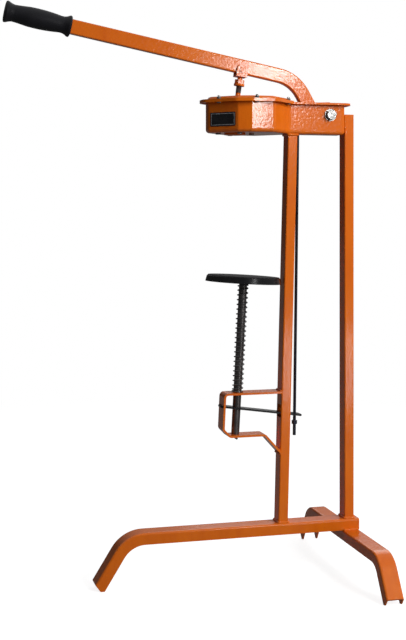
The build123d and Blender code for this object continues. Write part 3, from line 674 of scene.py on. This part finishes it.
class CORKER_OT_grip(bpy.types.Operator):
    """Mould the grip with flared lips and a full middle"""
    bl_idname = "corker.grip"
    bl_label = "Grip"

    def execute(self, context):
        low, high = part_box("lever_grip")
        centre = (low + high) / 2
        along = Vector((cos(lever_slope), 0, -sin(lever_slope)))
        length, end_radius = 0.127, 0.0181
        start = Vector((low.x + end_radius * sin(lever_slope), 0, 0))
        start.z = centre.z + (centre.x - start.x) * tan(lever_slope)
        # Radius and distance from the free end: closed end, lip, waist, belly, waist, lip, open end
        outline = [(0.0005, 0.0), (0.0110, 0.0), (0.0170, 0.0002), (0.0196, 0.0012), (0.0205, 0.0032),
                   (0.0197, 0.0064), (0.0176, 0.0112), (0.0163, 0.0160), (0.0164, 0.0220), (0.0174, 0.0330),
                   (0.0187, 0.0460), (0.0191, 0.0600), (0.0186, 0.0800), (0.0170, 0.0980),
                   (0.0159, 0.1080), (0.0162, 0.1130), (0.0179, 0.1180), (0.0200, 0.1218),
                   (0.0205, 0.1243), (0.0192, 0.1262), (0.0160, length), (0.0142, length),
                   (0.0138, 0.1255)]
        profile = smooth_profile(outline, count=150)
        piece = turned("grip_moulding", profile, start, along, around=96)
        settle(piece, "lever", finishes()["corker grip"], ("lever_grip",))
        return {"FINISHED"}


class CORKER_OT_spring(bpy.types.Operator):
    """Wind the platform's spring with closed ends"""
    bl_idname = "corker.spring"
    bl_label = "Platform spring"

    def execute(self, context):
        turns = context.scene.corker_sizes.coils
        wire, mean, rows_per_turn = 0.00125, 0.0098, 32
        closed_turns, closed_rise = 1.2, 0.28
        axis = slide_axis()
        base = middle("spring_washer") + axis * (spring_washer_thickness / 2)
        spindle_low, spindle_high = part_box("spindle")
        top_distance = (spindle_high.z - base.z) / axis.z - 0.0005
        t = np.linspace(0, 1, int(turns * rows_per_turn))
        lead = (np.clip(t * turns / closed_turns, 0, 1)
                * np.clip((1 - t) * turns / closed_turns, 0, 1))
        rise = np.concatenate([[0], np.cumsum(closed_rise + (1 - closed_rise) * lead[1:])])
        rise = wire + rise / rise[-1] * (top_distance - 2 * wire)
        path = np.array(base) + rise[:, None] * np.array(axis) + mean * spokes(axis, t * turns * tau)
        piece = tube("platform_spring_wire", path, wire, around=10)
        settle(piece, "frame", finishes()["corker spring wire"], ("plate_spring",))
        travel = abs(joints["platform_slide"]["range_m"][0])
        (top_distance - travel) / top_distance
        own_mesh(piece)
        return {"FINISHED"}


class CORKER_OT_welds(bpy.types.Operator):
    """Lay the weld beads of the frame"""
    bl_idname = "corker.welds"
    bl_label = "Welds"

    def execute(self, context):
        sizes = context.scene.corker_sizes
        r, ripple = sizes.bead, sizes.ripple
        self.posts(r, ripple)
        self.sides(r, ripple)
        self.bracket(r, ripple)
        return {"FINISHED"}

    def posts(self, r, ripple):
        """Beads around both feet and around the front post's head, 0.3 mm clear of the tubes."""
        beam_top, neck_floor = beam_high.z, front_high.z
        half_y = post_half_width + 0.0003
        foot_x = front_low.x + post_depth / 2
        bead("weld_front_post_foot", box_route(foot_x - 0.0102, foot_x + 0.0106, half_y, beam_top + r * 0.3),
             r, ripple, seed=3)
        bead("weld_rear_post_foot", box_route(post_low.x, post_high.x, half_y, beam_top + r * 0.3),
             r, ripple, seed=4)
        bead("weld_front_post_head", box_route(front_high.x - post_depth - 0.0005, front_high.x + 0.0002,
                                               half_y, neck_floor - r * 0.3), r, ripple, seed=5)

    def sides(self, r, ripple):
        """On both sides a bead up the rear post in the neck and one along the beam over the cross leg."""
        for side, seed in ((-1, 6), (1, 7)):
            x, y = post_low.x + 0.0003, side * (post_half_width + 0.0005)
            bead(f"weld_neck_back_{seed}", [(x, y, front_high.z + 0.012), (x, y, post_high.z - 0.002)],
                 r, ripple, seed)
            y, z = side * (beam_half_width - 0.0002), leg_high.z + 0.0003
            bead(f"weld_cross_leg_{seed}", [(leg_low.x + 0.001, y, z), (leg_high.x - 0.001, y, z)],
                 r * 1.1, ripple, seed + 10)

    def bracket(self, r, ripple):
        """Over and under both ends of the strap, where it meets the leaning front post."""
        low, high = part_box("spindle_bracket")
        half_long, clear = 0.0140, 0.0006
        for name, z, seed in (("top", high.z + clear, 21),
                              ("top_under", high.z - strap_thickness - clear, 22),
                              ("low", low.z + 0.0066, 23),
                              ("low_under", low.z - 0.0004, 24)):
            x = front_low.x + (z - beam_high.z) * tan(front_post_lean) - r * 0.3
            bead(f"weld_bracket_{name}", [(x, -half_long, z), (x, half_long, z)], r * 0.9, ripple, seed)


class CORKER_OT_threads(bpy.types.Operator):
    """Cut the visible threads of the plunger rod and the pull rod"""
    bl_idname = "corker.threads"
    bl_label = "Threads"

    def execute(self, context):
        height = context.scene.corker_sizes.thread
        made = finishes()
        up = Vector((sin(plunger_lean), 0, cos(plunger_lean)))
        piece = thread("plunger_thread", middle("stop_washer") - up * 0.016, up, radius=0.00502,
                       height=height * 0.9, pitch=0.0015, length=0.0145, around=48)
        settle(piece, "plunger", made["corker oiled bar"])
        down = Vector((-sin(pull_rod_lean), 0, -cos(pull_rod_lean)))
        piece = thread("pull_rod_thread", middle("pull_rod_nut") - down * 0.010, down, radius=0.00302,
                       height=height * 0.5, pitch=0.001, length=0.036, around=32)
        settle(piece, "pull", made["corker drawn rod"])
        return {"FINISHED"}


class CORKER_OT_stage(bpy.types.Operator):
    """Set up the ground, the surrounding light, the lamps and the camera"""
    bl_idname = "corker.stage"
    bl_label = "Stage"

    def execute(self, context):
        stage = context.scene.corker_stage
        scene = context.scene
        camera = bpy.data.objects.new("camera", bpy.data.cameras.new("camera"))
        scene.collection.objects.link(camera)
        camera.location = stage.camera
        camera.rotation_euler = (pi / 2, 0, -stage.turn)
        camera.data.lens = stage.lens
        camera.data.shift_y = stage.rise
        scene.camera = camera
        self.ground(stage)
        self.air(stage)
        key = self.lamp("key", place=(1.25, -1.6, 1.6), aim=(0.15, 0, 0.65), size=0.8, power=stage.key)
        key.visible_glossy = False
        self.lamp("glint", place=(0.77, -2.3, 1.11), aim=(0.15, 0, 0.92), size=0.15, power=stage.glint)
        self.lamp("lever_glint", place=(0.93, -2.3, 1.34), aim=(0.17, 0, 0.97), size=0.2,
                  power=stage.glint * 1.6)
        self.lamp("low_glint", place=(1.0, -2.0, 0.12), aim=(0.33, -0.15, 0.06), size=0.3,
                  power=stage.glint * 0.5)
        self.lamp("back", place=(1.4, 2.4, 1.9), aim=(0.1, 0, 0.7), size=1.8, power=stage.key * 0.5)
        scene.view_settings.view_transform = "Standard"
        return {"FINISHED"}

    def ground(self, stage):
        """Pale ground that keeps a soft share of the object's shadow and goes white away from it."""
        far, fade_start, fade_end = 30.0, 0.5, 2.2
        bounced, seen_grey, white = (0.18, 0.18, 0.18), (0.45, 0.45, 0.45), (1, 1, 1)
        mesh = bpy.data.meshes.new("ground")
        mesh.from_pydata([(-far, -far, 0), (far, -far, 0), (far, far, 0), (-far, far, 0)], [],
                         [(0, 1, 2, 3)])
        piece = bpy.data.objects.new("ground", mesh)
        bpy.context.scene.collection.objects.link(piece)
        f = Finish("corker ground")
        seen, mirrored = f.rays()
        f.set(Base_Color=f.mix(seen, bounced, seen_grey), Roughness=0.9)
        plain = f.node("ShaderNodeEmission", Color=white, Strength=1.0)
        lift = f.node("ShaderNodeEmission", Color=white, Strength=seen * stage.white)
        near = f.node("ShaderNodeAddShader")
        f.feed(near.inputs[0], f.shader.outputs[0])
        f.feed(near.inputs[1], lift.outputs[0])
        x, y, _ = f.split(f.place)
        away = (x * x + y * y) ** 0.5
        share = seen * away.over(fade_start, fade_end) + mirrored * (stage.mirror * 0.15)
        both = f.node("ShaderNodeMixShader")
        f.feed(both.inputs[0], share)
        f.feed(both.inputs[1], near.outputs[0])
        f.feed(both.inputs[2], plain.outputs[0])
        f.feed(f.tree.nodes["Material Output"].inputs["Surface"], both.outputs[0])
        mesh.materials.append(f.material)

    def air(self, stage):
        """Surrounding light: white to the camera, dim from the left and bright from above and right."""
        world = bpy.data.worlds.new("air")
        bpy.context.scene.world = world
        world.use_nodes = True
        f = Nodes(world.node_tree)
        x, _, z = f.split(f.node("ShaderNodeTexCoord").outputs["Generated"])
        seen, mirrored = f.rays()
        level = (0.11 + x.over(-0.1, 0.8) * 0.8 + z.over(0.3, 0.95) * 0.3) * stage.air
        strength = level * (1.0 - seen) + seen + mirrored * z.over(0.15, 0.7) * stage.mirror
        light = f.tree.nodes["Background"]
        f.feed(light.inputs["Color"], (1, 1, 1))
        f.feed(light.inputs["Strength"], strength)

    def lamp(self, name, place, aim, size, power):
        """Square lamp at a place, turned to shine at a point."""
        data = bpy.data.lights.new(name, "AREA")
        data.size, data.energy = size, power
        lamp = bpy.data.objects.new(name, data)
        bpy.context.scene.collection.objects.link(lamp)
        lamp.location = place
        lamp.rotation_euler = (Vector(aim) - Vector(place)).to_track_quat("-Z", "Y").to_euler()
        return lamp


class CORKER_PT_panel(bpy.types.Panel):
    """Sizes, finishes and steps of the corker"""
    bl_idname = "CORKER_PT_panel"
    bl_label = "Lever corker"
    bl_space_type = "VIEW_3D"
    bl_region_type = "UI"
    bl_category = "Corker"

    def draw(self, context):
        scene = context.scene
        for group in (scene.corker_paint, scene.corker_sizes, scene.corker_stage):
            box = self.layout.box()
            for name in group.__annotations__:
                box.prop(group, name)
        for step in steps:
            self.layout.operator(step.bl_idname)


steps = (CORKER_OT_finish_frame, CORKER_OT_fasteners, CORKER_OT_grip, CORKER_OT_spring, CORKER_OT_welds,
         CORKER_OT_threads, CORKER_OT_stage)
classes = (CorkerPaint, CorkerSizes, CorkerStage) + steps + (CORKER_PT_panel,)
groups = {"corker_paint": CorkerPaint, "corker_sizes": CorkerSizes, "corker_stage": CorkerStage}


def register():
    """Register the classes and hang the three groups on the scene."""
    for item in classes:
        bpy.utils.register_class(item)
    for name, group in groups.items():
        setattr(bpy.types.Scene, name, PointerProperty(type=group))


def unregister():
    """Take the groups and the classes away again."""
    for name in groups:
        delattr(bpy.types.Scene, name)
    for item in reversed(classes):
        bpy.utils.unregister_class(item)


def main():
    """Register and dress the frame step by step."""
    register()
    for step in steps:
        section, name = step.bl_idname.split(".")
        getattr(getattr(bpy.ops, section), name)()


if __name__ == "__main__":
    main()
